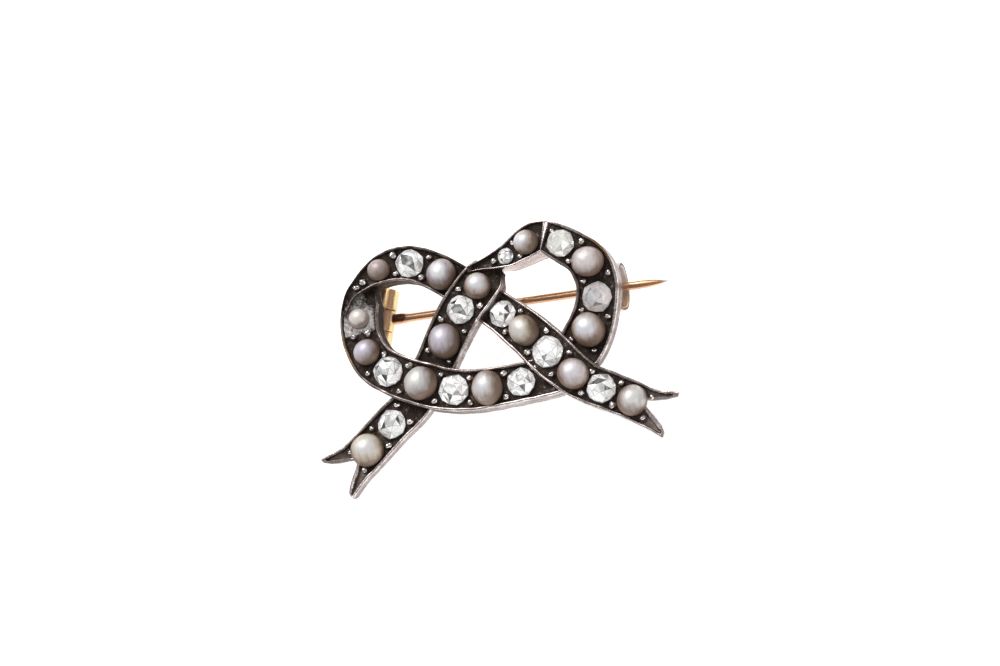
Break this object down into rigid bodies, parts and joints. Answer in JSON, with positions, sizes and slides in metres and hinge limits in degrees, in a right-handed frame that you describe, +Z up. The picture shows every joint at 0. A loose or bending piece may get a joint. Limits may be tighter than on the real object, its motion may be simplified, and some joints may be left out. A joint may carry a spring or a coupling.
{
  "type": "bow brooch",
  "caption": "Lover's knot bow brooch: a channelled ribbon set with half pearls and rose cut stones by turns, a hinged pin stem and an open C catch behind.",
  "frame": {"origin": "centre of the bounding box, at its bottom, where the brooch rests on its left tail, its hinge and its catch", "axes": "+X along the stem towards its point, +Y to the top of the bow, +Z up and out of the front"},
  "size_m": [0.0286, 0.019, 0.0073],
  "materials": {
    "silver": "oxidised silver, its rims worn bright",
    "pearl": "soft nacre lustre",
    "diamond": "polished facets, foiled behind",
    "cement": "rough grey filling",
    "gold": "worn pale yellow gold",
    "rose_gold": "drawn rose gold"
  },
  "bodies": {
    "brooch": {"ribbon": "silver", "pearl_1": "pearl", "pearl_2": "pearl", "pearl_3": "pearl", "pearl_4": "pearl", "pearl_5": "pearl", "pearl_6": "pearl", "pearl_7": "pearl", "pearl_8": "pearl", "pearl_9": "pearl", "pearl_10": "pearl", "pearl_11": "pearl", "pearl_12": "pearl", "pearl_13": "pearl", "pearl_14": "pearl", "pearl_15": "pearl", "diamond_1": "diamond", "diamond_2": "diamond", "diamond_3": "diamond", "diamond_4": "diamond", "diamond_5": "diamond", "diamond_6": "diamond", "diamond_7": "diamond", "diamond_8": "diamond", "diamond_9": "diamond", "diamond_10": "diamond", "diamond_11": "diamond", "diamond_12": "diamond", "cement": "cement", "hinge": "gold", "catch": "gold"},
    "pin": {"pin_stem": "rose_gold"}
  },
  "joints": [
    {"name": "pin_swing", "type": "hinge", "parent": "brooch", "child": "pin", "pos_m": [-0.0093, 0.00491, 0.00136], "axis": [0.2419, 0.947, 0.2112], "range_deg": [0, 110]}
  ]
}
